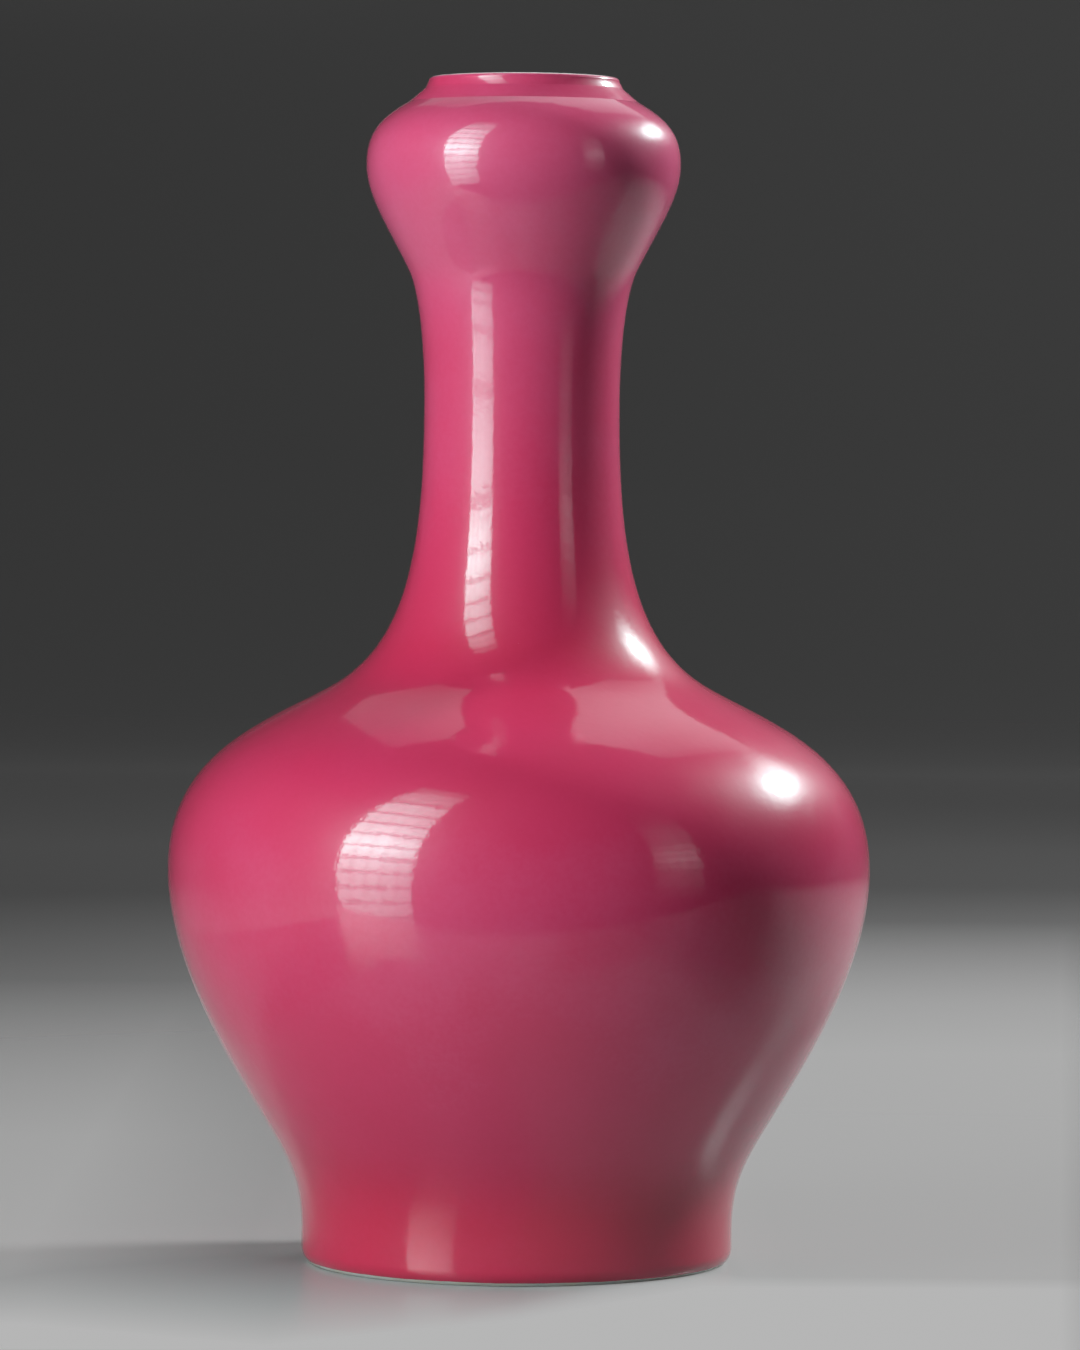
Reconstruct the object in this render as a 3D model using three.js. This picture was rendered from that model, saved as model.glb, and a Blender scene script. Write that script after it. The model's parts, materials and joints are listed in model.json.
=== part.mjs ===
// A garlic-head vase in porcelain: a globular body on a low upright foot, a tall neck, and a mouth
// shaped like a bulb of garlic with a short collar on top.
//
// Such a vase is thrown in sections, which are turned, cut square to the wall and luted one on
// the other with slip before firing: foot ring, belly, shoulder, neck and head. Every joint keeps
// a ring of slip between the two cut edges, wiped flush outside and left as a low bead inside.
//
// Millimetres, +Z up, the origin at the centre of the circle that the foot ring stands on.

import * as THREE from "three";

// Driving dimensions: the turned outline of the fired vase.
const RIM_HEIGHT = 260; // from the table to the top of the lip
const FOOT_RADIUS = 47.5; // outside of the upright foot
const BELLY_RADIUS = 77.2; // the widest circle of the body
const BELLY_HEIGHT = 86.4; // height of that circle
const NECK_RADIUS = 21.5; // the narrowest circle of the neck
const NECK_HEIGHT = 188.6;
const BULB_RADIUS = 34.5; // the widest circle of the garlic head
const BULB_HEIGHT = 241.2;
const LIP_RADIUS = 21.0; // outside of the collar, just under its rounded edge

// Foot ring and base.
const FOOT_STANDING_RADIUS = 45; // outer edge of the wiped flat that the vase stands on
const FOOT_STANDING_WIDTH = 2.4; // width of that flat
const FOOT_EDGE_HEIGHT = 3.4; // height of the rounded outer edge
const FOOT_INSIDE_RADIUS = 41.6; // inner wall of the ring, where it meets the base
const FOOT_JOINT_HEIGHT = 8; // top of the foot ring
const FOOT_BEVEL = { width: 0.6, height: 0.7 }; // inner edge of the flat, trimmed with a knife
const BASE_DOME = 1.2; // rise of the base towards its centre, seen from below
const FLOOR_HEIGHT = 14.6; // the vase's floor inside
const FLOOR_FLAT_RADIUS = 30; // where the floor begins to curve up into the wall
const HEEL_HEIGHT = 27; // where that curve has become the wall
const HEEL_FULLNESS = 8; // how far the curve keeps to the wall and to the floor

// Heights of the luted joints, measured on the outside.
const BELLY_JOINT_HEIGHT = BELLY_HEIGHT;
const SHOULDER_JOINT_HEIGHT = 126.4;
const THROAT_JOINT_HEIGHT = 207;
const SLIP_THICKNESS = 0.8;
const SLIP_BEAD = 0.9; // how far the bead of slip stands out of the inner wall

const SEGMENTS = 48; // round the axis
const OUTSIDE_TURN = 7.5; // degrees that the outer wall turns from one point to the next
const INSIDE_TURN = 11; // the same on the inner wall, which is seen less
const EDGE_STEPS = 6; // points on a rounded edge

const ENAMEL_ROSE = 0xc63a68;
const SLIP_WHITE = 0xe9e6df;

// Wall thickness by height, from the heavy foot to the thin lip.
const WALL = [
  { height: 0, thickness: 5.6 },
  { height: 40, thickness: 4.6 },
  { height: BELLY_HEIGHT, thickness: 4 },
  { height: SHOULDER_JOINT_HEIGHT, thickness: 3.8 },
  { height: NECK_HEIGHT, thickness: 3.2 },
  { height: BULB_HEIGHT, thickness: 3 },
  { height: RIM_HEIGHT, thickness: 2.1 },
];

// The outline's stations, from the foot up: the upright foot's two ends, the flank, the widest
// circle, the steep shoulder, the neck, the throat, the bulb, its top, the collar and the lip.
// slope is the wall's angle from the vertical in degrees, positive where the vase widens upwards.
// leave and reach say how full the curve is after and before a station, as shares of the straight
// distance to the next one.
const STATIONS = [
  { radius: FOOT_RADIUS, height: FOOT_EDGE_HEIGHT, slope: 0, leave: 0.33 },
  { radius: FOOT_RADIUS, height: 6.8, slope: 0, reach: 0.33, leave: 0.385 },
  { radius: 60.3, height: 39, slope: 30.4, reach: 0.49, leave: 0.2 },
  { radius: BELLY_RADIUS, height: BELLY_HEIGHT, slope: 0, reach: 0.37, leave: 0.48 },
  { radius: 41.6, height: SHOULDER_JOINT_HEIGHT, slope: -60.6, reach: 0.3, leave: 0.29 },
  { radius: NECK_RADIUS, height: NECK_HEIGHT, slope: 0, reach: 0.495, leave: 0.28 },
  { radius: 25.2, height: 218, slope: 26.7, reach: 0.23, leave: 0.49 },
  { radius: BULB_RADIUS, height: BULB_HEIGHT, slope: 0, reach: 0.285, leave: 0.43 },
  { radius: 25.5, height: 254.4, slope: -60, reach: 0.395, leave: 0.34 },
  { radius: 21.9, height: 257.2, slope: -20, reach: 0.21, leave: 0.44 },
  { radius: LIP_RADIUS, height: 259, slope: -6, reach: 0.12 },
];

// The outline between two stations: a cubic curve that leaves and reaches them along their slopes.
function stretchBetween(lower, upper) {
  const start = new THREE.Vector2(lower.radius, lower.height);
  const end = new THREE.Vector2(upper.radius, upper.height);
  const span = start.distanceTo(end);
  const along = (station, share) => {
    const angle = THREE.MathUtils.degToRad(station.slope);
    return new THREE.Vector2(Math.sin(angle), Math.cos(angle)).multiplyScalar(span * share);
  };
  return new THREE.CubicBezierCurve(
    start,
    start.clone().add(along(lower, lower.leave)),
    end.clone().sub(along(upper, upper.reach)),
    end,
  );
}

const OUTLINE = STATIONS.slice(1).map((station, i) => stretchBetween(STATIONS[i], station));
const FOOT_EDGE = 0; // the place of the lowest station
const LIP = OUTLINE.length; // and of the highest

// A place on the outline is its stretch number plus the share of that stretch: 3.25 is a quarter
// of the way up stretch 3.
function curveAt(place) {
  const index = Math.min(Math.floor(place), OUTLINE.length - 1);
  return { curve: OUTLINE[index], share: place - index };
}

function outerPoint(place) {
  const { curve, share } = curveAt(place);
  return curve.getPoint(share);
}

const NEXT_TO = 1e-9; // a step along the outline too small to matter

// The outline only ever climbs, so a height has one place on it.
function placeAtHeight(height) {
  let low = FOOT_EDGE;
  let high = LIP;
  while (high - low > NEXT_TO) {
    const middle = (low + high) / 2;
    if (outerPoint(middle).y < height) low = middle;
    else high = middle;
  }
  return low;
}

function wallThickness(height) {
  const upper = Math.max(1, WALL.findIndex((step) => step.height >= height));
  const [below, above] = [WALL[upper - 1], WALL[upper]];
  const share = (height - below.height) / (above.height - below.height);
  return THREE.MathUtils.lerp(below.thickness, above.thickness, share);
}

// The point on the inner wall square across from a place on the outline.
function innerPoint(place, extra = 0) {
  const { curve, share } = curveAt(place);
  const outer = curve.getPoint(share);
  const tangent = curve.getTangent(share);
  const inwards = new THREE.Vector2(-tangent.y, tangent.x);
  return outer.clone().addScaledVector(inwards, wallThickness(outer.y) + extra);
}

// How far the wall turns between two places on one stretch, in degrees.
function turnBetween(from, to) {
  const samples = 16;
  let turn = 0;
  let before = null;
  for (let i = 0; i <= samples; i++) {
    const { curve, share } = curveAt(THREE.MathUtils.lerp(from, to, (i + 0.5) / (samples + 1)));
    const direction = curve.getTangent(share).angle();
    if (before !== null) turn += Math.abs(direction - before);
    before = direction;
  }
  return THREE.MathUtils.radToDeg(turn);
}

// Points from one place to another on the outside or the inside of the wall, with one at each
// station on the way and more where the wall turns.
function run(pointAt, from, to, turnPerStep) {
  const stations = STATIONS.map((_, place) => place).filter(
    (place) => place > Math.min(from, to) && place < Math.max(from, to),
  );
  if (from > to) stations.reverse();
  const stops = [from, ...stations, to];
  const points = [pointAt(from)];
  for (let i = 1; i < stops.length; i++) {
    const [start, end] = [stops[i - 1], stops[i]];
    const steps = Math.max(1, Math.ceil(turnBetween(start, end) / turnPerStep));
    for (let k = 1; k <= steps; k++) points.push(pointAt(THREE.MathUtils.lerp(start, end, k / steps)));
  }
  return points;
}

const outsideRun = (from, to) => run(outerPoint, from, to, OUTSIDE_TURN);
const insideRun = (from, to) => run(innerPoint, from, to, INSIDE_TURN);

// Turns a closed outline of (radius, height) points about the vase's axis.
function turned(name, outline, colour, roughness) {
  const closed = outline[0].x === 0 ? outline : [...outline, outline[0].clone()];
  const geometry = new THREE.LatheGeometry(closed, SEGMENTS);
  geometry.rotateX(Math.PI / 2); // the lathe's axis is Y, and the vase's is Z
  const material = new THREE.MeshStandardMaterial({ color: colour, roughness, metalness: 0 });
  const mesh = new THREE.Mesh(geometry, material);
  mesh.name = name;
  return mesh;
}

const enamelled = (name, outline) => turned(name, outline, ENAMEL_ROSE, 0.12);
const ofSlip = (name, outline) => turned(name, outline, SLIP_WHITE, 0.5);

// A joint's two cut edges, half a slip's thickness below and above its height.
function joint(height) {
  const middle = placeAtHeight(height);
  const nearby = 1e-4;
  const wallPerPlace = outerPoint(middle + nearby).distanceTo(outerPoint(middle)) / nearby;
  const half = SLIP_THICKNESS / 2 / wallPerPlace;
  return { below: middle - half, above: middle + half };
}

const BELLY_JOINT = joint(BELLY_JOINT_HEIGHT);
const SHOULDER_JOINT = joint(SHOULDER_JOINT_HEIGHT);
const THROAT_JOINT = joint(THROAT_JOINT_HEIGHT);
const FOOT_TOP = placeAtHeight(FOOT_JOINT_HEIGHT);
const BELLY_BOTTOM = placeAtHeight(FOOT_JOINT_HEIGHT + SLIP_THICKNESS);

// The head: the garlic bulb with its collar, whose edge is rounded over to the thin inner wall.
function head() {
  const [outside, inside] = [outerPoint(LIP), innerPoint(LIP)];
  const edge = new THREE.EllipseCurve(
    (outside.x + inside.x) / 2,
    outside.y,
    (outside.x - inside.x) / 2,
    RIM_HEIGHT - outside.y,
    0,
    Math.PI,
  ).getPoints(EDGE_STEPS);
  return enamelled("garlic_head", [
    ...outsideRun(THROAT_JOINT.above, LIP),
    ...edge.slice(1, -1),
    ...insideRun(LIP, THROAT_JOINT.above),
  ]);
}

// A plain section of the wall between two joints.
function wallSection(name, lower, upper) {
  return enamelled(name, [
    ...outsideRun(lower.above, upper.below),
    ...insideRun(upper.below, lower.above),
  ]);
}

// The belly: the lower half of the body with the vase's floor, closed underneath by the base.
function belly() {
  const heel = placeAtHeight(HEEL_HEIGHT);
  const { curve, share } = curveAt(heel);
  const downTheWall = curve.getTangent(share).negate();
  const wallEnd = innerPoint(heel);
  const floorEdge = new THREE.Vector2(FLOOR_FLAT_RADIUS, FLOOR_HEIGHT);
  const heelCurve = new THREE.CubicBezierCurve(
    wallEnd,
    wallEnd.clone().addScaledVector(downTheWall, HEEL_FULLNESS),
    floorEdge.clone().add(new THREE.Vector2(HEEL_FULLNESS, 0)),
    floorEdge,
  );
  return enamelled("belly", [
    new THREE.Vector2(0, FOOT_JOINT_HEIGHT + SLIP_THICKNESS + BASE_DOME),
    new THREE.Vector2(FOOT_INSIDE_RADIUS, FOOT_JOINT_HEIGHT + SLIP_THICKNESS),
    ...outsideRun(BELLY_BOTTOM, BELLY_JOINT.below),
    ...insideRun(BELLY_JOINT.below, heel),
    ...heelCurve.getPoints(EDGE_STEPS).slice(1),
    new THREE.Vector2(0, FLOOR_HEIGHT),
  ]);
}

// The foot ring: upright outside with a rounded lower edge, a wiped flat to stand on, and an
// inner wall that leans in towards the base.
function footRing() {
  const roundedEdge = new THREE.EllipseCurve(
    FOOT_STANDING_RADIUS,
    FOOT_EDGE_HEIGHT,
    FOOT_RADIUS - FOOT_STANDING_RADIUS,
    FOOT_EDGE_HEIGHT,
    -Math.PI / 2,
    0,
  ).getPoints(EDGE_STEPS);
  const flatInside = FOOT_STANDING_RADIUS - FOOT_STANDING_WIDTH;
  return enamelled("foot_ring", [
    ...roundedEdge,
    ...outsideRun(FOOT_EDGE, FOOT_TOP).slice(1),
    new THREE.Vector2(FOOT_INSIDE_RADIUS, FOOT_JOINT_HEIGHT),
    new THREE.Vector2(flatInside - FOOT_BEVEL.width, FOOT_BEVEL.height),
    new THREE.Vector2(flatInside, 0),
  ]);
}

// A ring of luting slip between the cut edges of two sections, with its bead on the inside.
function slipRing(name, cut) {
  return ofSlip(name, [
    outerPoint(cut.below),
    outerPoint(cut.above),
    innerPoint(cut.above),
    innerPoint(cut.above, SLIP_BEAD),
    innerPoint(cut.below, SLIP_BEAD),
    innerPoint(cut.below),
  ]);
}

// The slip between the foot ring and the base, wiped flush on both sides.
function footSlip() {
  return ofSlip("slip_foot_to_belly", [
    outerPoint(FOOT_TOP),
    outerPoint(BELLY_BOTTOM),
    new THREE.Vector2(FOOT_INSIDE_RADIUS, FOOT_JOINT_HEIGHT + SLIP_THICKNESS),
    new THREE.Vector2(FOOT_INSIDE_RADIUS, FOOT_JOINT_HEIGHT),
  ]);
}

const vase = new THREE.Group();
vase.add(
  footRing(),
  footSlip(),
  belly(),
  slipRing("slip_belly_to_shoulder", BELLY_JOINT),
  wallSection("shoulder", BELLY_JOINT, SHOULDER_JOINT),
  slipRing("slip_shoulder_to_neck", SHOULDER_JOINT),
  wallSection("neck", SHOULDER_JOINT, THROAT_JOINT),
  slipRing("slip_neck_to_head", THROAT_JOINT),
  head(),
);

export default vase;
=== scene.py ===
import json
import math

import bmesh
import bpy
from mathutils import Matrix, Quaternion, Vector, noise

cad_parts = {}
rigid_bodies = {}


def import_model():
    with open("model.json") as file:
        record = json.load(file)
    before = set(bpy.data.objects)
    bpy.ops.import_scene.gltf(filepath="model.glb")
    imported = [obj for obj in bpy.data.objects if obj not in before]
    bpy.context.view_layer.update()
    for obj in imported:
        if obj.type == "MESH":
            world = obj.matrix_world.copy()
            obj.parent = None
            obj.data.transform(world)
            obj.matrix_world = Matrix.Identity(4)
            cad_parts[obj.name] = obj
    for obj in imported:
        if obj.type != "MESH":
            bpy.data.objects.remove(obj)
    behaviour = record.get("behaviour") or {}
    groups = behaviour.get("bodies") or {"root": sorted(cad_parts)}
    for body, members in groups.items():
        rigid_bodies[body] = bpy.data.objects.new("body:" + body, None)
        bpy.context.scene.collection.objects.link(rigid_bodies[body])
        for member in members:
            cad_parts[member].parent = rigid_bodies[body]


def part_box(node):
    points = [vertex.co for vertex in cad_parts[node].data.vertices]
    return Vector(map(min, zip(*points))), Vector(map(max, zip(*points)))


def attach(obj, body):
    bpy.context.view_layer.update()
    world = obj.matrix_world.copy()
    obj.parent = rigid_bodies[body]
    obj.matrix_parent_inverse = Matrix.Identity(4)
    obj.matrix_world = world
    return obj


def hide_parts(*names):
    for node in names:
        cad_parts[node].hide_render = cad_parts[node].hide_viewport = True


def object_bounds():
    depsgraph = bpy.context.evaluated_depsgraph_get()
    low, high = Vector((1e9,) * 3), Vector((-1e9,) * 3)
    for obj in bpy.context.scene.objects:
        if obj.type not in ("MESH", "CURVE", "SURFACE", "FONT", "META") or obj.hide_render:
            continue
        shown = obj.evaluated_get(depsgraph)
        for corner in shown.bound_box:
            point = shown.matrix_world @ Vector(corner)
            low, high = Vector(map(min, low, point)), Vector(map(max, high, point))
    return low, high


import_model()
CAD_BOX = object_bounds()
MM = 0.001

# The foot ring: a low upright ring of white porcelain, trimmed with the vase upside down on the
# wheel. Its lower edge is rounded over, and the narrow flat that the vase stands on is wiped clean
# of glaze before firing, so that bare clay shows there.
FOOT_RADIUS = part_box("foot_ring")[1].x / MM
FOOT_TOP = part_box("foot_ring")[1].z / MM
FLAT_OUTSIDE = 45.0
FLAT_INSIDE = 42.6
FLAT_BEVEL = Vector((0.6, 0.7))
EDGE_HEIGHT = 3.4
FOOT_INSIDE = 41.6
COAT = 0.3
BODY_SEGMENTS = 192
OVALNESS = 0.05
OVAL_TURN = 0.7
OVAL_TWIST = 90
UNEVENNESS = 0.04
UNEVEN_PITCH = 1.4
UNEVEN_LENGTH = 60
TRUE_WITHIN = 20.0
ON_AXIS = 0.001


def arc(centre, radius_across, radius_up, from_degrees, to_degrees, steps):
    """Points (radius, height) on a stretch of an ellipse, 0 degrees pointing away from the axis."""
    points = []
    for i in range(steps + 1):
        turn = math.radians(from_degrees + (to_degrees - from_degrees) * i / steps)
        points.append(Vector((centre.x + radius_across * math.cos(turn),
                              centre.y + radius_up * math.sin(turn))))
    return points


def hand_wobble(point, turn):
    """How many millimetres a turned form falls short of a true one: it is a little oval and uneven."""
    around = Vector((math.cos(turn), math.sin(turn), point.y / UNEVEN_LENGTH))
    oval = OVALNESS * (1 + math.cos(2 * turn + OVAL_TURN + point.y / OVAL_TWIST))
    uneven = UNEVENNESS * (1 + noise.noise(around * UNEVEN_PITCH))
    return (oval + uneven) * min(1.0, point.x / TRUE_WITHIN)


def turned(name, outline_at, segments):
    """Turns a closed outline, in millimetres, about the vase's axis into a mesh in metres.

    outline_at gives the outline's (radius, height) points at a turn about the axis. Points on the
    axis become one.
    """
    mesh = bmesh.new()
    turns = [2 * math.pi * k / segments for k in range(segments)]
    outlines = [outline_at(turn) for turn in turns]
    rings = []
    for i, first in enumerate(outlines[0]):
        if first.x < ON_AXIS:
            rings.append([mesh.verts.new((0, 0, first.y * MM))])
            continue
        ring = []
        for turn, outline in zip(turns, outlines):
            radius = (outline[i].x - hand_wobble(outline[i], turn)) * MM
            ring.append(mesh.verts.new((radius * math.cos(turn), radius * math.sin(turn),
                                        outline[i].y * MM)))
        rings.append(ring)
    for i, lower in enumerate(rings):
        upper = rings[(i + 1) % len(rings)]
        if len(lower) == 1 and len(upper) == 1:
            continue
        for k in range(segments):
            n = (k + 1) % segments
            if len(lower) == 1:
                mesh.faces.new((lower[0], upper[n], upper[k]))
            elif len(upper) == 1:
                mesh.faces.new((lower[k], lower[n], upper[0]))
            else:
                mesh.faces.new((lower[k], lower[n], upper[n], upper[k]))
    bmesh.ops.recalc_face_normals(mesh, faces=mesh.faces)
    data = bpy.data.meshes.new(name)
    mesh.to_mesh(data)
    mesh.free()
    data.shade_smooth()
    piece = bpy.data.objects.new(name, data)
    bpy.context.scene.collection.objects.link(piece)
    return piece


class Recipe:
    """Short ways to add and link the nodes of a material or of a light."""

    def __init__(self, tree):
        self.tree = tree

    def add(self, kind, **inputs):
        node = self.tree.nodes.new(kind)
        for socket, value in inputs.items():
            self.put(node.inputs[socket.replace("_", " ")], value)
        return node

    def put(self, socket, value):
        if isinstance(value, bpy.types.NodeSocket):
            self.tree.links.new(value, socket)
        else:
            socket.default_value = value

    def between(self, value, low, high, to_low=0.0, to_high=1.0):
        """Goes from to_low to to_high as the value goes from low to high, and stays there."""
        node = self.add("ShaderNodeMapRange", Value=value)
        node.inputs["From Min"].default_value = low
        node.inputs["From Max"].default_value = high
        node.inputs["To Min"].default_value = to_low
        node.inputs["To Max"].default_value = to_high
        return node.outputs["Result"]

    def reckon(self, operation, first, second=0.0):
        node = self.add("ShaderNodeMath")
        node.operation = operation
        self.put(node.inputs[0], first)
        self.put(node.inputs[1], second)
        return node.outputs["Value"]


class Finish(Recipe):
    """The material of one finish, whose pattern follows the place in metres."""

    def __init__(self, name):
        self.material = bpy.data.materials.new(name)
        self.material.use_nodes = True
        super().__init__(self.material.node_tree)
        self.shader = self.tree.nodes["Principled BSDF"]
        self.place = self.add("ShaderNodeNewGeometry").outputs["Position"]

    def shine(self, **inputs):
        for socket, value in inputs.items():
            self.put(self.shader.inputs[socket.replace("_", " ")], value)

    def grain(self, millimetres, detail=2.0, squash=1.0):
        """Noise whose blotches are about so many millimetres across."""
        stretched = self.add("ShaderNodeMapping", Vector=self.place, Scale=(1, 1, squash))
        cloud = self.add("ShaderNodeTexNoise", Vector=stretched.outputs["Vector"],
                         Scale=1 / (millimetres * MM), Detail=detail)
        return cloud.outputs["Fac"]

    def blend(self, share, one, other):
        node = self.add("ShaderNodeMix")
        node.data_type = "RGBA"
        self.put(node.inputs["Factor"], share)
        self.put(node.inputs["A"], one)
        self.put(node.inputs["B"], other)
        return node.outputs["Result"]

    def relief(self, height, depth_mm, under=None):
        node = self.add("ShaderNodeBump", Strength=1.0, Distance=depth_mm * MM, Height=height)
        if under is not None:
            self.put(node.inputs["Normal"], under)
        return node.outputs["Normal"]


def bare_porcelain():
    """Fired white clay without glaze: dry, fine-grained, with a warm tinge in places."""
    cool_white = (0.66, 0.66, 0.63, 1)
    warm_white = (0.68, 0.60, 0.50, 1)
    finish = Finish("bare_porcelain")
    warmth = finish.between(finish.grain(9, 4), 0.35, 0.7)
    finish.shine(Base_Color=finish.blend(warmth, cool_white, warm_white),
                 Normal=finish.relief(finish.grain(0.5, 3), 0.02),
                 Roughness=finish.between(finish.grain(2), 0.3, 0.7, 0.5, 0.7))
    return finish.material


BARE_PORCELAIN = bare_porcelain()


def porcelain(name, node, outline):
    """One piece in bare porcelain, in the place of its CAD node."""
    piece = turned(name, lambda turn: outline, BODY_SEGMENTS)
    piece.data.materials.append(BARE_PORCELAIN)
    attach(piece, "root")
    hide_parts(node)
    return piece


# Above the rounded edge and the bevel the clay draws back under the full depth of its coats.
UNDER_EDGE = 0.1
EDGE_STEP = 0.5
BEVEL_STEP = 0.4
EDGE_FACETS = 20
BEVEL_RADIUS = FLAT_INSIDE + UNDER_EDGE - FLAT_BEVEL.x
edge_centre = Vector((FLAT_OUTSIDE, EDGE_HEIGHT))
edge_across = FOOT_RADIUS - FLAT_OUTSIDE
foot_outline = arc(edge_centre, edge_across - UNDER_EDGE, EDGE_HEIGHT, -90, 0, EDGE_FACETS)
foot_outline += [
    Vector((FOOT_RADIUS - COAT, EDGE_HEIGHT + EDGE_STEP)),
    Vector((FOOT_RADIUS - COAT, FOOT_TOP)),
    Vector((FOOT_INSIDE + COAT, FOOT_TOP)),
    Vector((BEVEL_RADIUS, FLAT_BEVEL.y + BEVEL_STEP)),
    Vector((BEVEL_RADIUS, FLAT_BEVEL.y)),
    Vector((FLAT_INSIDE, 0)),
]
porcelain("foot_ring_porcelain", "foot_ring", foot_outline)

# The belly: the lower half of the body, thrown as a bowl whose floor is the floor of the vase. Its
# rim is cut square to the wall, where the shoulder is luted on at the widest circle.
BELLY_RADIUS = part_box("belly")[1].x / MM
BULB_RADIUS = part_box("garlic_head")[1].x / MM
RIM_HEIGHT = CAD_BOX[1].z / MM
BELLY_JOINT = 86.4
SLIP = 0.8
FLOOR_HEIGHT = 14.6
FLOOR_FLAT_RADIUS = 30.0
HEEL_HEIGHT = 27.0
HEEL_FULLNESS = 8.0
BASE_HEIGHT = FOOT_TOP + SLIP
BASE_DOME = 1.2

# Stations of the whole vase's outline: radius and height in millimetres, the wall's angle from the
# vertical in degrees, and how full the curve is before and after, as shares of the way between.
STATIONS = [
    (FOOT_RADIUS, EDGE_HEIGHT, 0, 0, 0.33),
    (FOOT_RADIUS, 6.8, 0, 0.33, 0.385),
    (60.3, 39.0, 30.4, 0.49, 0.20),
    (BELLY_RADIUS, BELLY_JOINT, 0, 0.37, 0.48),
    (41.6, 126.4, -60.6, 0.30, 0.29),
    (21.5, 188.6, 0, 0.495, 0.28),
    (25.2, 218.0, 26.7, 0.23, 0.49),
    (BULB_RADIUS, 241.2, 0, 0.285, 0.43),
    (25.5, 254.4, -60, 0.395, 0.34),
    (21.9, 257.2, -20, 0.21, 0.44),
    (21.0, 259.0, -6, 0.12, 0),
]
WALL_BY_HEIGHT = [
    (0, 5.6), (40, 4.6), (86.4, 4.0), (126.4, 3.8), (188.6, 3.2), (241.2, 3.0), (260, 2.1)]
CURVE_STEP = 0.12
FEWEST_STEPS = 3
WALL_STEP = 0.24
CLAY_EVERY = 8
HEEL_FACETS = 20


def bezier(start, leave, reach, end, steps):
    points = []
    for i in range(steps + 1):
        share = i / steps
        rest = 1 - share
        points.append(start * rest**3 + leave * 3 * rest**2 * share
                      + reach * 3 * rest * share**2 + end * share**3)
    return points


def direction(degrees_from_vertical):
    angle = math.radians(degrees_from_vertical)
    return Vector((math.sin(angle), math.cos(angle)))


def wall_outline():
    """The outside of the wall, from the foot's rounded edge to the lip's, in fine steps."""
    points = []
    for lower, upper in zip(STATIONS, STATIONS[1:]):
        start, end = Vector(lower[:2]), Vector(upper[:2])
        span = (end - start).length
        leave = start + direction(lower[2]) * span * lower[4]
        reach = end - direction(upper[2]) * span * upper[3]
        stretch = bezier(start, leave, reach, end, max(FEWEST_STEPS, round(span / CURVE_STEP)))
        points += stretch[1:] if points else stretch
    return points


def even(points, step):
    """The same line with its points about a step apart."""
    kept, gone = [points[0]], 0.0
    for before, point in zip(points, points[1:]):
        gone += (point - before).length
        if gone >= step:
            kept.append(point)
            gone = 0.0
    if (kept[-1] - points[-1]).length > 1e-6:
        kept.append(points[-1])
    return kept


def by_height(table, height):
    """A value that a list of (height, value) gives at a height, straight in between."""
    for (low, first), (high, second) in zip(table, table[1:]):
        if height <= high:
            return first + (second - first) * max(0.0, height - low) / (high - low)
    return table[-1][1]


def wall_thickness(height):
    return by_height(WALL_BY_HEIGHT, height)


def inset(points, depth):
    """The line moved square into the wall by a depth, or by depth(height)."""
    moved = []
    for i, point in enumerate(points):
        along = (points[min(i + 1, len(points) - 1)] - points[max(i - 1, 0)]).normalized()
        amount = depth(point.y) if callable(depth) else depth
        moved.append(point + Vector((-along.y, along.x)) * amount)
    return moved


OUTSIDE = even(wall_outline(), WALL_STEP)
CLAY_OUTSIDE = inset(OUTSIDE, COAT)
CLAY_INSIDE = inset(OUTSIDE, lambda height: wall_thickness(height) - COAT)


def wall_section(low, high):
    """The clay's outer and inner line between two heights of the outside, cut square to the wall."""
    picked = [i for i, point in enumerate(OUTSIDE) if low <= point.y <= high]
    picked = picked[:1] + picked[1:-1:CLAY_EVERY] + picked[-1:]
    return [CLAY_OUTSIDE[i] for i in picked], [CLAY_INSIDE[i] for i in picked]


def heel(wall, floor_height):
    """The curve from the foot of the inner wall to the flat of the floor."""
    down = (wall[0] - wall[1]).normalized()
    edge = Vector((FLOOR_FLAT_RADIUS, floor_height))
    outwards = Vector((HEEL_FULLNESS, 0))
    return bezier(wall[0], wall[0] + down * HEEL_FULLNESS, edge + outwards, edge, HEEL_FACETS)


belly_outside, belly_inside = wall_section(BASE_HEIGHT, BELLY_JOINT - SLIP / 2)
belly_inside = [point for point in belly_inside if point.y > HEEL_HEIGHT]
base_line = [Vector((0, BASE_HEIGHT + BASE_DOME + COAT)), Vector((FOOT_INSIDE, BASE_HEIGHT + COAT))]
floor_line = heel(belly_inside, FLOOR_HEIGHT - COAT)[1:] + [Vector((0, FLOOR_HEIGHT - COAT))]
porcelain("belly_porcelain", "belly", base_line + belly_outside + belly_inside[::-1] + floor_line)

# The shoulder, the neck and the garlic head: three more thrown sections, each open at both ends and
# trimmed to the belly's thickness where they meet. The head's edge is rounded over as the lip.
SHOULDER_JOINT = 126.4
THROAT_JOINT = 207.0
for name, node, low, high in (
    ("shoulder_porcelain", "shoulder", BELLY_JOINT + SLIP / 2, SHOULDER_JOINT - SLIP / 4),
    ("neck_porcelain", "neck", SHOULDER_JOINT + SLIP / 4, THROAT_JOINT - SLIP / 2),
    ("garlic_head_porcelain", "garlic_head", THROAT_JOINT + SLIP / 2, RIM_HEIGHT),
):
    section_outside, section_inside = wall_section(low, high)
    porcelain(name, node, section_outside + section_inside[::-1])

# The slip: creamy clay that the cut edges are scored and stuck together with. It is wiped flush on
# the outside and pressed into a low bead on the inside, and it fires as hard as the wall.
BEAD = 0.9
BEAD_WIDTH = 1.6
BEAD_TURNS = range(80, -81, -20)


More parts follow.
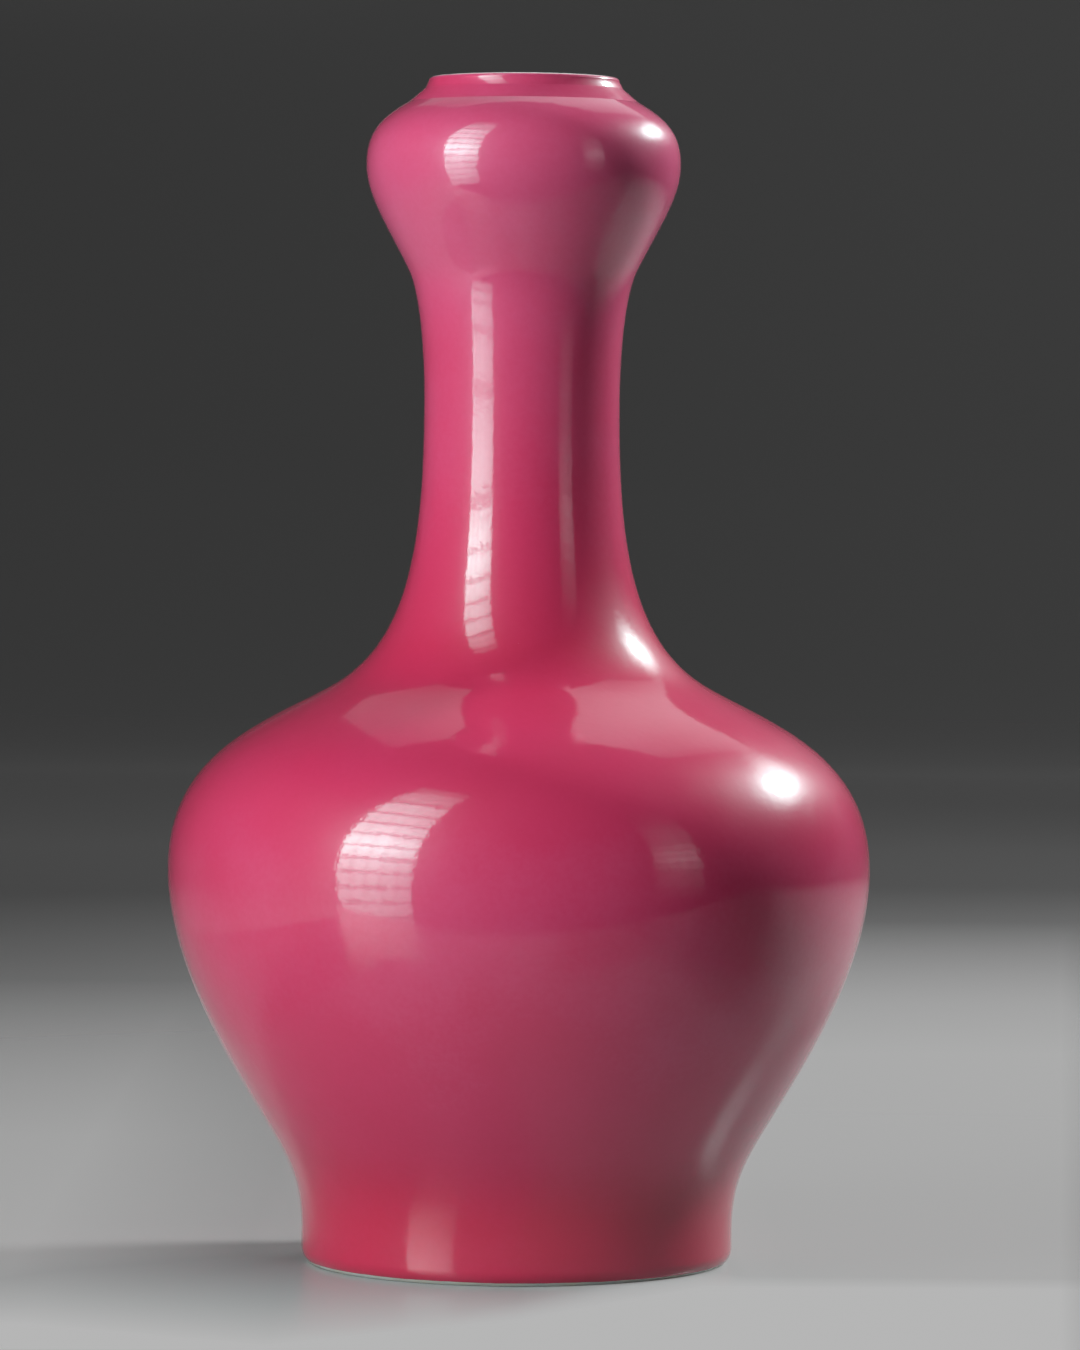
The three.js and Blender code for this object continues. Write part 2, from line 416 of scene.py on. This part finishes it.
def slip_ring(name, node, height):
    """One ring of slip at a height of the outside: as thick as the wall, with its bead inside."""
    middle = min(range(len(OUTSIDE)), key=lambda i: abs(OUTSIDE[i].y - height))
    along = (OUTSIDE[middle + 1] - OUTSIDE[middle - 1]).normalized()
    inwards = Vector((-along.y, along.x))
    half = along * SLIP / 2
    start = OUTSIDE[middle] + inwards * COAT
    end = OUTSIDE[middle] + inwards * (wall_thickness(height) - COAT)
    bead = []
    for degrees in BEAD_TURNS:
        turn = math.radians(degrees)
        rise = inwards * (BEAD - COAT) * math.cos(turn)
        bead.append(end + rise + along * BEAD_WIDTH / 2 * math.sin(turn))
    porcelain(name, node, [start - half, start + half, end + half] + bead + [end - half])


slip_ring("belly_luting_slip", "slip_belly_to_shoulder", BELLY_JOINT)
slip_ring("shoulder_luting_slip", "slip_shoulder_to_neck", SHOULDER_JOINT)
slip_ring("throat_luting_slip", "slip_neck_to_head", THROAT_JOINT)
porcelain("foot_luting_slip", "slip_foot_to_belly", [
    Vector((FOOT_RADIUS - COAT, FOOT_TOP)),
    Vector((FOOT_RADIUS - COAT, BASE_HEIGHT)),
    Vector((FOOT_INSIDE + COAT, BASE_HEIGHT)),
    Vector((FOOT_INSIDE + COAT, FOOT_TOP)),
])

# The white glaze: a glass with a faint blue cast, poured inside the vase and brushed under the base.
# It lies over the beads of slip, which show through it as low rings, and it thins over the lip.
LIP_SLOPE = math.radians(6)
LIP_OUTSIDE = OUTSIDE[-1]
LIP_INSIDE = LIP_OUTSIDE - Vector((wall_thickness(LIP_OUTSIDE.y) * math.cos(LIP_SLOPE), 0))
LIP_CENTRE = (LIP_OUTSIDE + LIP_INSIDE) / 2
LIP_HALF = (LIP_OUTSIDE.x - LIP_INSIDE.x) / 2
LIP_RISE = RIM_HEIGHT - LIP_OUTSIDE.y
CREST_SINK = 0.02
UNDER_ENAMEL_ACROSS = 0.15
UNDER_ENAMEL_UP = 0.1
UNDER_ENAMEL_FACETS = 4
CREST_FACETS = 24
CREST_BACK_FACETS = 10
GLAZE_SEGMENTS = 192
GLAZE_STEP = 1.2
THROWING_DEPTH = 0.12
THROWING_PITCH = 6.5
THROWING_FADE = 20.0
SMOOTH_BELOW_RIM = 6.0
COVE_WIDTH = 3.0
COVE_DROP = 3.0
COVE_CORNER = 1
COVE_LEAN = 0.1
COVE_FACETS = 12
BASE_GLAZE_PROUD = 0.05
BASE_GLAZE_STOP = 0.6
BASE_GLAZE_BACK_STOP = 0.7


def bead_at(height):
    """How far the beads of slip lift the inner wall at a height of the outside wall."""
    lift = sum(math.exp(-((height - joint) / BEAD_WIDTH) ** 2)
               for joint in (BELLY_JOINT, SHOULDER_JOINT, THROAT_JOINT))
    return BEAD * lift


def throwing_rings(height):
    """The rings that the potter's fingers leave on the inside, which fade out below the rim."""
    share = min(1, max(0, (RIM_HEIGHT - SMOOTH_BELOW_RIM - height) / THROWING_FADE))
    return THROWING_DEPTH * math.sin(2 * math.pi * height / THROWING_PITCH) * share


def glaze_inner_line():
    """The glazed inner wall, from the heel up to the lip."""
    line = inset(OUTSIDE, lambda height: wall_thickness(height) + bead_at(height) + throwing_rings(height))
    return even([point for point in line if HEEL_HEIGHT < point.y < LIP_INSIDE.y], GLAZE_STEP)


def glaze_outline():
    """The inner glaze: from under the enamel's edge over the crest of the lip and down to the floor."""
    crest = arc(LIP_CENTRE, LIP_HALF - CREST_SINK, LIP_RISE, 30, 180, CREST_FACETS)
    hidden = arc(LIP_CENTRE, LIP_HALF - UNDER_ENAMEL_ACROSS, LIP_RISE - UNDER_ENAMEL_UP, 0, 35,
                 UNDER_ENAMEL_FACETS)
    crest[:UNDER_ENAMEL_FACETS] = hidden[:-1]
    wall = glaze_inner_line()
    skin = crest + wall[::-1] + heel(wall, FLOOR_HEIGHT)[1:] + [Vector((0, FLOOR_HEIGHT))]
    wall_back = inset(wall, -COAT)
    back = [Vector((0, FLOOR_HEIGHT - COAT))] + heel(wall_back, FLOOR_HEIGHT - COAT)[::-1][:-1]
    back += wall_back
    back += arc(LIP_CENTRE, LIP_HALF - 2 * COAT, LIP_RISE - COAT, 180, 0, CREST_BACK_FACETS)
    return skin + back


def white_glaze():
    """Glossy white glaze: very slightly blue, and a little deeper where it pools."""
    thin_glass = (0.80, 0.82, 0.80, 1)
    pooled_glass = (0.72, 0.77, 0.75, 1)
    finish = Finish("white_glaze")
    pooled = finish.between(finish.grain(25, 3), 0.35, 0.7)
    peel = finish.relief(finish.grain(3, 1), 0.012)
    finish.shine(Base_Color=finish.blend(pooled, thin_glass, pooled_glass),
                 Normal=peel, Coat_Normal=peel, Coat_Weight=0.6, Coat_Roughness=0.08,
                 Roughness=finish.between(finish.grain(6), 0.3, 0.7, 0.16, 0.26))
    return finish.material


WHITE_GLAZE = white_glaze()


def glaze(name, outline):
    """One coat of the white glaze, which has no CAD node of its own."""
    piece = turned(name, lambda turn: outline, GLAZE_SEGMENTS)
    piece.data.materials.append(WHITE_GLAZE)
    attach(piece, "root")
    return piece


def cove_outline():
    """Where the base turns down into the inside of the foot ring."""
    start = Vector((FOOT_INSIDE - COVE_WIDTH, BASE_HEIGHT + COVE_LEAN))
    leave = Vector((FOOT_INSIDE - COVE_CORNER, BASE_HEIGHT))
    reach = Vector((FOOT_INSIDE - COVE_LEAN, BASE_HEIGHT - COVE_CORNER))
    end = Vector((FOOT_INSIDE, BASE_HEIGHT - COVE_DROP))
    return bezier(start, leave, reach, end, COVE_FACETS)


glaze("inner_glaze", glaze_outline())
glaze("base_glaze", [Vector((0, BASE_HEIGHT + BASE_DOME))] + cove_outline() + [
    Vector((FLAT_INSIDE - FLAT_BEVEL.x - BASE_GLAZE_PROUD, FLAT_BEVEL.y + BASE_GLAZE_STOP)),
    Vector((FLAT_INSIDE - FLAT_BEVEL.x + COAT, FLAT_BEVEL.y + BASE_GLAZE_BACK_STOP)),
    Vector((FOOT_INSIDE + COAT, BASE_HEIGHT - COVE_DROP)),
    Vector((FOOT_INSIDE + COAT, BASE_HEIGHT + COAT)),
    Vector((0, BASE_HEIGHT + BASE_DOME + COAT)),
])

# The rose enamel: an opaque lead glass coloured with gold, laid evenly over the white glaze outside
# and fired on a second time. It is deeper and redder on the foot, round the root of the neck and at
# the collar, partly where it pools and partly as painted shade on the foot under the belly and in the
# hollow at the neck's root. It thins to nothing on the crest of the lip and above the bare foot.
ENAMEL_SEGMENTS = 320
ENAMEL_STEP = 1.15
ENAMEL_BACK_STEP = 7.0
ENAMEL_THICKNESS = 0.28
FOOT_LINE_HEIGHT = 0.85
FOOT_LONG_WAVE = 3.0
FOOT_SHORT_WAVE = 1.5
FOOT_LINE_SINK = (0.09, 0.06)
LIP_STOP_DEGREES = 66
LIP_WAVE = 7
LIP_LINE_SINK = 0.03

# How deep the enamel lies by the height in millimetres, from 0 for none to 1 where it pools. On the
# foot and round the root of the neck the high values are partly painted shade.
DEPTH_AND_PAINTED_SHADE_BY_HEIGHT = [
    (0, 0.95), (13, 0.98), (20, 0.86), (29, 0.62), (40, 0.52), (55, 0.47), (66, 0.43), (78, 0.42),
    (92, 0.44), (105, 0.56), (122, 0.60), (136, 0.78), (148, 0.64), (160, 0.46), (180, 0.36),
    (201, 0.31), (216, 0.20), (226, 0.13), (238, 0.18), (246, 0.24), (254, 0.31), (258, 0.40),
    (259.4, 0.40), (259.8, 0.0), (260, 0.0)]
ROSE_BARE = (0.78, 0.56, 0.58, 1)
ROSE_THIN = (0.64, 0.105, 0.235, 1)
ROSE = (0.58, 0.040, 0.124, 1)
# The deepest rose, which on the foot and round the root of the neck is partly painted shade.
ROSE_DEEP_AND_SHADED = (0.50, 0.020, 0.066, 1)
PINHOLE = (0.72, 0.36, 0.40, 1)
PINHOLE_SPACING = 7.0
ENAMEL_WALL = even(OUTSIDE, ENAMEL_STEP)
ENAMEL_BACK = even(inset(OUTSIDE, ENAMEL_THICKNESS), ENAMEL_BACK_STEP)


def enamel_outline(turn):
    """The enamel's outline at a turn: its lines at the foot and on the lip are uneven."""
    around = Vector((math.cos(turn), math.sin(turn), 0))
    stop = math.degrees(math.asin(FOOT_LINE_HEIGHT / EDGE_HEIGHT - 1))
    stop += FOOT_LONG_WAVE * noise.noise(around * 5) + FOOT_SHORT_WAVE * noise.noise(around * 21)
    lip_stop = LIP_STOP_DEGREES + LIP_WAVE * noise.noise(around * 7 + Vector((0, 0, 3)))
    foot_edge = arc(edge_centre, edge_across, EDGE_HEIGHT, stop, 0, 16)
    foot_back = arc(edge_centre, edge_across - FOOT_LINE_SINK[0], EDGE_HEIGHT - FOOT_LINE_SINK[1],
                    stop + 12, stop, 1)
    lip_edge = arc(LIP_CENTRE, LIP_HALF, LIP_RISE, 0, lip_stop, 10)
    lip_back = arc(LIP_CENTRE, LIP_HALF - LIP_LINE_SINK, LIP_RISE - LIP_LINE_SINK,
                   lip_stop, lip_stop - 20, 1)
    return foot_edge + ENAMEL_WALL[1:-1] + lip_edge + lip_back + ENAMEL_BACK[::-1] + foot_back


def enamel_finish():
    """Rose deepened by the enamel's depth and by painted shade, clouded and mottled, with pinholes and a
    ripple.
    """
    finish = Finish("fired_rose_enamel")
    # The depth by height, which on the foot and round the root of the neck is partly painted shade.
    depth = finish.add("ShaderNodeAttribute")
    depth.attribute_name = "enamel_depth_and_painted_shade"
    cloud = finish.between(finish.grain(34, 5), 0.25, 0.75, -0.10, 0.10)
    mottle = finish.between(finish.grain(1.3, 3), 0.3, 0.7, -0.025, 0.025)
    laid = finish.reckon("ADD", finish.reckon("ADD", depth.outputs["Fac"], cloud), mottle)
    thin_to_rose = finish.blend(finish.between(laid, 0.1, 0.5), ROSE_THIN, ROSE)
    rose_to_deep_and_shaded = finish.blend(finish.between(laid, 0.5, 1.0), thin_to_rose, ROSE_DEEP_AND_SHADED)
    covered = finish.blend(finish.between(depth.outputs["Fac"], 0.0, 0.08), ROSE_BARE, rose_to_deep_and_shaded)

    cells = finish.add("ShaderNodeTexVoronoi", Vector=finish.place, Scale=1 / (PINHOLE_SPACING * MM))
    chance = finish.add("ShaderNodeSeparateColor", Color=cells.outputs["Color"])
    size = finish.between(chance.outputs["Red"], 0.72, 1.0, 0.0, 0.024)
    from_rim = finish.reckon("SUBTRACT", cells.outputs["Distance"], size)
    is_pierced = finish.between(chance.outputs["Green"], 0.5, 0.52)
    pinhole = finish.reckon("MULTIPLY", finish.between(from_rim, -0.004, 0.004, 1.0, 0.0), is_pierced)

    peel = finish.relief(finish.grain(1.9, 3, 1.3), 0.024)
    finer = finish.relief(finish.grain(0.9, 1), 0.004, peel)
    pitted = finish.relief(finish.reckon("SUBTRACT", 1.0, pinhole), 0.03, finer)
    finish.shine(Base_Color=finish.blend(pinhole, covered, PINHOLE), Normal=pitted, Coat_Normal=pitted,
                 Roughness=finish.between(finish.grain(12, 3), 0.3, 0.7, 0.36, 0.46),
                 Specular_IOR_Level=0.10, IOR=1.5,
                 Coat_Weight=1.0, Coat_Roughness=0.06, Coat_IOR=1.5)
    return finish.material


enamel = turned("rose_enamel_coat", enamel_outline, ENAMEL_SEGMENTS)
enamel.data.materials.append(enamel_finish())
depth_and_painted_shade_layer = enamel.data.attributes.new("enamel_depth_and_painted_shade", "FLOAT", "POINT")
for vertex, layer in zip(enamel.data.vertices, depth_and_painted_shade_layer.data):
    layer.value = by_height(DEPTH_AND_PAINTED_SHADE_BY_HEIGHT, vertex.co.z / MM)
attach(enamel, "root")

# The table and what is behind it: one smooth pale sheet that sweeps up into a wall far behind, which
# is painted dark. It is graded in tone with a painted pool of light and painted shade, as a lit table
# is, and it isn't part of the vase.
SHEET_HALF_WIDTH = 4.0
SHEET_FRONT = -0.265
SWEEP_START = 2.2
SWEEP_RADIUS = 0.6
SWEEP_STEPS = 16
WALL_TOP = 3.5
PALE = (0.42, 0.42, 0.42, 1)
SHORT_OF_RED = (0.30, 0.42, 0.42, 1)
# The painted shade of the table and of the wall far behind.
PAINTED_SHADE = (0.065, 0.065, 0.065, 1)
# The painted lit tone, which glows where the table is shown fully lit.
PAINTED_LIT_TONE = (0.466, 0.466, 0.466, 1)
# The middle of the pool of light that is painted on the table.
PAINTED_LIGHT_POOL_CENTRE = (0.25, -0.10, 0)
BLUSH_CENTRE = (-0.025, -0.085, 0)

# The sides of the picture spread by this share of the way along the table.
VIEW_SPREAD = 0.084

sheet_line = [(SHEET_FRONT, 0.0), (SWEEP_START, 0.0)]
for step in range(1, SWEEP_STEPS + 1):
    bend = math.radians(90 * step / SWEEP_STEPS)
    sheet_line.append((SWEEP_START + SWEEP_RADIUS * math.sin(bend), SWEEP_RADIUS * (1 - math.cos(bend))))
sheet_line.append((SWEEP_START + SWEEP_RADIUS, WALL_TOP))
sheet_mesh = bmesh.new()
edges = [[sheet_mesh.verts.new((side, y, z)) for side in (-SHEET_HALF_WIDTH, SHEET_HALF_WIDTH)]
         for y, z in sheet_line]
for near, far in zip(edges, edges[1:]):
    sheet_mesh.faces.new((near[0], near[1], far[1], far[0]))
sheet_data = bpy.data.meshes.new("studio_sheet")
sheet_mesh.to_mesh(sheet_data)
sheet_mesh.free()
sheet_data.shade_smooth()
sheet = bpy.data.objects.new("studio_sheet", sheet_data)
bpy.context.scene.collection.objects.link(sheet)


def distance_from(finish, place):
    node = finish.add("ShaderNodeVectorMath", Vector=finish.place)
    node.operation = "DISTANCE"
    node.inputs[1].default_value = place
    return node.outputs["Value"]


def both(finish, one, other):
    return finish.reckon("MULTIPLY", one, other)


def most(finish, first, *others):
    for other in others:
        first = finish.reckon("MAXIMUM", first, other)
    return first


def graded_paper():
    """Pale grey, smooth and a little glossy, with painted light and shade that follow the place on the
    table.
    """
    paper = Finish("graded_paper")
    apart = paper.add("ShaderNodeSeparateXYZ", Vector=paper.place)
    across, away = apart.outputs["X"], apart.outputs["Y"]
    spread = both(paper, away, VIEW_SPREAD)
    off_right = paper.reckon("SUBTRACT", across, spread)
    off_middle = paper.reckon("SUBTRACT", paper.reckon("ABSOLUTE", across), spread)

    # Painted shade: it darkens far from the painted pool of light, at the front edge and on the right,
    # where the vase mirrors it, but not behind the vase on the right.
    far_off = paper.between(distance_from(paper, PAINTED_LIGHT_POOL_CENTRE), 0.10, 1.35)
    right_front = both(paper, paper.between(off_right, 0.12, 0.17, 0.0, 0.8),
                       paper.between(away, 0.02, -0.06))
    right_back = both(paper, paper.between(off_right, 0.12, 0.18), paper.between(away, -0.06, 0.02))
    right_side = both(paper, paper.between(across, 0.0, 0.06, 0.0, 0.55),
                      paper.reckon("SUBTRACT", 1.0, right_back))
    front_edge = paper.between(away, -0.22, SHEET_FRONT)
    dark = most(paper, far_off, right_front, right_side, front_edge)

    # In front of the foot it is short of red, which takes out the blush that the vase throws on it.
    # The far end has a faint light of its own, a little more on the right.
    blush = paper.between(distance_from(paper, BLUSH_CENTRE), 0.03, 0.13, 1.0, 0.0)
    dusk = both(paper, paper.between(across, -0.8, 0.8, 0.022, 0.040), paper.between(away, 0.8, 1.5))
    paper.shine(Base_Color=paper.blend(dark, paper.blend(blush, PALE, SHORT_OF_RED), PAINTED_SHADE),
                Roughness=0.22, Specular_IOR_Level=paper.between(away, -0.03, 0.08, 0.16, 0.32),
                Emission_Color=(1, 1, 1, 1), Emission_Strength=dusk)

    # Where the picture shows the table fully lit, a plain lit tone is painted on it, which glows for the
    # camera and for reflections: in front of the vase, on the right and a little on the left. There it
    # paints over the front part of the vase's shadow.
    start = most(paper, paper.between(across, -0.10, 0.0, 0.03, -0.03),
                 paper.between(across, 0.0, 0.04, -0.03, 0.025))
    reach = paper.between(across, -0.05, 0.0, 0.14, 0.07)
    nearer = paper.reckon("SUBTRACT", start, away)
    front = paper.between(paper.reckon("DIVIDE", nearer, reach), 0.0, 1.0)
    right = both(paper, paper.between(across, 0.0, 0.05, 0.0, 0.72), paper.between(away, 1.05, 0.50))
    left = both(paper, paper.between(across, -0.06, -0.11, 0.0, 0.48), paper.between(away, 0.75, 0.25))
    in_picture = both(paper, paper.between(away, -0.165, -0.145), paper.between(off_middle, 0.14, 0.12))
    path = paper.add("ShaderNodeLightPath")
    looked_at = most(paper, path.outputs["Is Camera Ray"], path.outputs["Is Glossy Ray"],
                     path.outputs["Is Transmission Ray"])
    lit = both(paper, both(paper, most(paper, front, right, left), in_picture), looked_at)
    # The painted lit tone glows of its own, over part of the vase's shadow.
    plain = paper.add("ShaderNodeEmission", Color=PAINTED_LIT_TONE, Strength=1.0)
    shown = paper.add("ShaderNodeMixShader", Fac=lit)
    paper.put(shown.inputs[1], paper.shader.outputs["BSDF"])
    paper.put(shown.inputs[2], plain.outputs["Emission"])
    paper.put(paper.tree.nodes["Material Output"].inputs["Surface"], shown.outputs["Shader"])
    return paper.material


sheet_data.materials.append(graded_paper())

# The lights of a plain studio: a tall soft box at the left front, a dim strip at the right front, a
# small lamp at the right back and a broad pale panel above and behind. The box and the strip have
# the lines of their cloth across them, and the box and the lamp have a fainter glow round them.
VASE_MIDDLE = (0, 0, 0.13)
VASE_FRONT = -0.05
BAR_HALF_WIDTH = 0.16
BAR_SPREAD = 4
IN_FRONT = 0.01
WHITE = (1.0, 1.0, 1.0)

# The picture's camera holds back red in the highlights, so what the glaze mirrors is short of red.
BOX_TINT = (0.52, 1.0, 0.95)
BOX_GLOW_TINT = (0.75, 1.0, 0.97)
BACK_TINT = (0.70, 1.0, 0.97)

THE_VASE = bpy.data.collections.new("vase_pieces")
THE_TABLE = bpy.data.collections.new("the_table")
for thing in bpy.context.scene.objects:
    if thing.type == "MESH":
        (THE_TABLE if thing is sheet else THE_VASE).objects.link(thing)


def smooth_levels(face, share, levels):
    """The level at a share of the way, gliding between the (share, level) of a list."""
    ramp = face.add("ShaderNodeValToRGB", Fac=share)
    ramp.color_ramp.interpolation = "EASE"
    while len(ramp.color_ramp.elements) < len(levels):
        ramp.color_ramp.elements.new(0.5)
    for element, (place, level) in zip(ramp.color_ramp.elements, levels):
        element.position = place
        element.color = (level, level, level, 1)
    return ramp.outputs["Color"]


def glow(light, levels_across, levels_up, bars=()):
    """Gives a light's face its brightness across and up, each as a list of (share of the way, level).

    Each bar gives an axis, how many dimmed lines cross it, how many of them are lost as they stand
    wider apart towards its end, and by how much they dim the light.
    """
    light.use_nodes = True
    face = Recipe(light.node_tree)
    place = face.add("ShaderNodeNewGeometry").outputs["Parametric"]
    shares = face.add("ShaderNodeSeparateXYZ", Vector=place).outputs
    level = face.reckon("MULTIPLY", smooth_levels(face, shares["X"], levels_across),
                        smooth_levels(face, shares["Y"], levels_up))
    for axis, count, lost, dimmed in bars:
        wider = face.reckon("MULTIPLY", face.reckon("POWER", shares[axis], BAR_SPREAD), lost)
        lines = face.reckon("SUBTRACT", face.reckon("MULTIPLY", shares[axis], count), wider)
        from_line = face.reckon("PINGPONG", lines, 0.5)
        between_lines = face.between(from_line, 0.0, BAR_HALF_WIDTH, 1 - dimmed, 1.0)
        level = face.reckon("MULTIPLY", level, between_lines)
    face.put(light.node_tree.nodes["Emission"].inputs["Strength"], level)


def area_light(name, part, middle, facing, size, radiance, tint=WHITE, only_on=None):
    """A flat light, whose part is "cast" for what it throws on things or "mirrored" for its image.

    A mirrored one hangs a little in front of the one that casts, which would hide it.
    """
    light = bpy.data.lights.new(name, "AREA")
    light.shape = "RECTANGLE"
    light.size, light.size_y = size
    light.energy = radiance * size[0] * size[1] * math.pi
    light.color = tint
    lamp = bpy.data.objects.new(name, light)
    towards = (Vector(facing) - Vector(middle)).normalized()
    lamp.location = Vector(middle) + towards * (IN_FRONT if part == "mirrored" else 0.0)
    lamp.rotation_mode = "QUATERNION"
    lamp.rotation_quaternion = towards.to_track_quat("-Z", "Y")
    lamp.visible_diffuse = part == "cast"
    lamp.visible_glossy = part == "mirrored"
    if only_on:
        lamp.light_linking.receiver_collection = only_on
    bpy.context.scene.collection.objects.link(lamp)
    return light


def out_at(azimuth, distance, height):
    """A place round the vase's front at an azimuth from the camera's side, positive to the right."""
    turn = math.radians(azimuth)
    return Vector((distance * math.sin(turn), VASE_FRONT - distance * math.cos(turn), height))


# The soft box leans over the table, and its light is strongest below its middle. What it casts,
# what the vase mirrors of it and what the table mirrors of it each have their own strength.
BOX_AZIMUTH = -48
BOX_WIDTH = 0.46
BOX_GLOW_WIDTH = 0.90
BOX_UP = [(0.0, 0.12), (0.05, 0.24), (0.116, 0.33), (0.21, 0.40), (0.25, 0.50), (0.29, 0.60), (0.375, 1.0),
          (0.45, 0.74), (0.53, 0.54), (0.65, 0.46), (0.824, 0.2), (1.0, 0.07)]
BOX_ACROSS = [(0.0, 1.0), (0.5, 1.0), (0.75, 0.83), (1.0, 0.6)]
BOX_GLOW_ACROSS = [(0.0, 0.0), (0.12, 0.35), (0.25, 1.1), (0.7, 0.9), (0.85, 0.25), (1.0, 0.0)]
BOX_BARS = [("Y", 16.5, 7.2, 0.8), ("X", 5, 0, 0.3)]
BOX_GLOW_BEHIND = 0.03
box_foot = out_at(BOX_AZIMUTH, 1.06, -0.35)
box_top = out_at(BOX_AZIMUTH, 0.72, 1.80)
box_middle = (box_foot + box_top) / 2
box_height = (box_top - box_foot).length
box_turn = math.radians(BOX_AZIMUTH)
box_normal = (box_top - box_foot).cross(Vector((math.cos(box_turn), math.sin(box_turn), 0))).normalized()
if box_normal.dot(-box_middle) < 0:
    box_normal = -box_normal
for name, part, radiance, tint, only_on in (
    ("soft_box_cast", "cast", 14.2, WHITE, None),
    ("soft_box_mirrored", "mirrored", 17.6, BOX_TINT, THE_VASE),
    ("soft_box_in_table", "mirrored", 40, WHITE, THE_TABLE),
):
    soft_box = area_light(name, part, box_middle, box_middle + box_normal, (BOX_WIDTH, box_height),
                          radiance, tint, only_on)
    glow(soft_box, BOX_ACROSS, BOX_UP, BOX_BARS)
box_glow = area_light("soft_box_halo", "mirrored", box_middle - BOX_GLOW_BEHIND * box_normal,
                      box_middle + box_normal, (BOX_GLOW_WIDTH, box_height), 1.3, BOX_GLOW_TINT, THE_VASE)
glow(box_glow, BOX_GLOW_ACROSS, BOX_UP)

# The strip's light is strongest low down.
STRIP_AZIMUTH = 53.5
STRIP_HEIGHT = 0.65
STRIP_ACROSS = [(0.0, 0.25), (0.25, 0.8), (0.55, 1.0), (1.0, 0.7)]
STRIP_UP = [(0.0, 0.05), (0.15, 0.3), (0.3, 1.0), (0.5, 0.4), (0.8, 0.08), (1.0, 0.02)]
STRIP_BARS = [("Y", 16, 0, 0.6), ("X", 4, 0, 0.4)]
strip = area_light("side_strip", "mirrored", out_at(STRIP_AZIMUTH, 1.11, STRIP_HEIGHT),
                   out_at(STRIP_AZIMUTH, 0.1, STRIP_HEIGHT), (0.35, 1.4), 1.9)
glow(strip, STRIP_ACROSS, STRIP_UP, STRIP_BARS)

# The lamp at the right back, with the glow round it, and the panel above and behind.
LAMP_PLACE = (0.84, 0.60, 0.787)
LAMP_SIZE = (0.25, 0.155)
LAMP_GLOW_PLACE = (0.857, 0.612, 0.798)
LAMP_GLOW_SIZE = (0.95, 0.42)
LAMP_GLOW_LEVELS = [(0.0, 0.0), (0.5, 1.0), (1.0, 0.0)]
PANEL_PLACE = (0.10, 1.00, 1.36)
PANEL_SIZE = (1.24, 0.83)
PANEL_ACROSS = [(0.0, 0.35), (0.12, 0.7), (0.3, 1.0), (0.5, 1.0), (1.0, 0.27)]
PANEL_UP = [(0.0, 1.0), (1.0, 1.0)]
for part, radiance, tint in (("cast", 160, WHITE), ("mirrored", 180, BACK_TINT)):
    back_lamp = area_light("back_lamp_" + part, part, LAMP_PLACE, VASE_MIDDLE, LAMP_SIZE, radiance, tint)
    back_lamp.shape = "ELLIPSE"
lamp_glow = area_light("lamp_halo", "mirrored", LAMP_GLOW_PLACE, VASE_MIDDLE, LAMP_GLOW_SIZE, 8.5,
                       BACK_TINT)
glow(lamp_glow, LAMP_GLOW_LEVELS, LAMP_GLOW_LEVELS)
for part, radiance, tint in (("cast", 1.05, WHITE), ("mirrored", 1.08, BACK_TINT)):
    panel = area_light("back_panel_" + part, part, PANEL_PLACE, VASE_MIDDLE, PANEL_SIZE, radiance, tint)
    glow(panel, PANEL_ACROSS, PANEL_UP)

# A wall close by on the left, which only the vase's left edge mirrors, and two soft fills.
SIDE_WALL_PLACE = (-0.30, 0.10, 0.20)
SIDE_WALL_FACING = (0.0, 0.10, 0.20)
SIDE_WALL_ACROSS = [(0.0, 0.0), (0.27, 0.07), (0.5, 0.2), (0.63, 0.33), (0.7, 0.48), (0.77, 0.6),
                    (0.84, 0.77), (1.0, 1.1)]
SIDE_WALL_UP = [(0.0, 1.0), (0.2, 0.95), (0.35, 0.5), (0.7, 0.4), (1.0, 0.2)]
side_wall = area_light("left_wall", "mirrored", SIDE_WALL_PLACE, SIDE_WALL_FACING, (0.60, 0.40), 0.75,
                       BOX_TINT, THE_VASE)
glow(side_wall, SIDE_WALL_ACROSS, SIDE_WALL_UP)
area_light("back_fill", "cast", out_at(152, 1.5, 0.75), VASE_MIDDLE, (0.6, 0.6), 9)
area_light("front_fill", "cast", out_at(-24, 0.9, 0.95), (0, 0, 0.17), (0.6, 0.6), 0.95)

# The room round the studio is nearly black.
ROOM = (0.01, 0.01, 0.01, 1)
world = bpy.data.worlds.new("studio")
world.use_nodes = True
world.node_tree.nodes["Background"].inputs["Color"].default_value = ROOM
world.node_tree.nodes["Background"].inputs["Strength"].default_value = 1.0
bpy.context.scene.world = world
bpy.context.scene.view_settings.view_transform = "Standard"

# The camera: 1.4 m away and a little above the middle of the vase, with a long lens. It is rolled by
# a fraction of a degree, because the vase leans in the picture.
LENS = 171.7
SENSOR_WIDTH = 36.0
CAMERA_PLACE = (0.0, -1.414, 0.177)
LOOK_DOWN = math.radians(1.94)
LOOK_RIGHT = math.radians(0.1765)
ROLL = math.radians(0.40)
camera_data = bpy.data.cameras.new("studio_camera")
camera_data.sensor_width = SENSOR_WIDTH
camera_data.lens = LENS
camera = bpy.data.objects.new("studio_camera", camera_data)
bpy.context.scene.collection.objects.link(camera)
camera.location = CAMERA_PLACE
sight = Vector((math.sin(LOOK_RIGHT), math.cos(LOOK_RIGHT) * math.cos(LOOK_DOWN), -math.sin(LOOK_DOWN)))
camera.rotation_mode = "QUATERNION"
camera.rotation_quaternion = sight.to_track_quat("-Z", "Y") @ Quaternion((0, 0, 1), ROLL)
bpy.context.scene.camera = camera
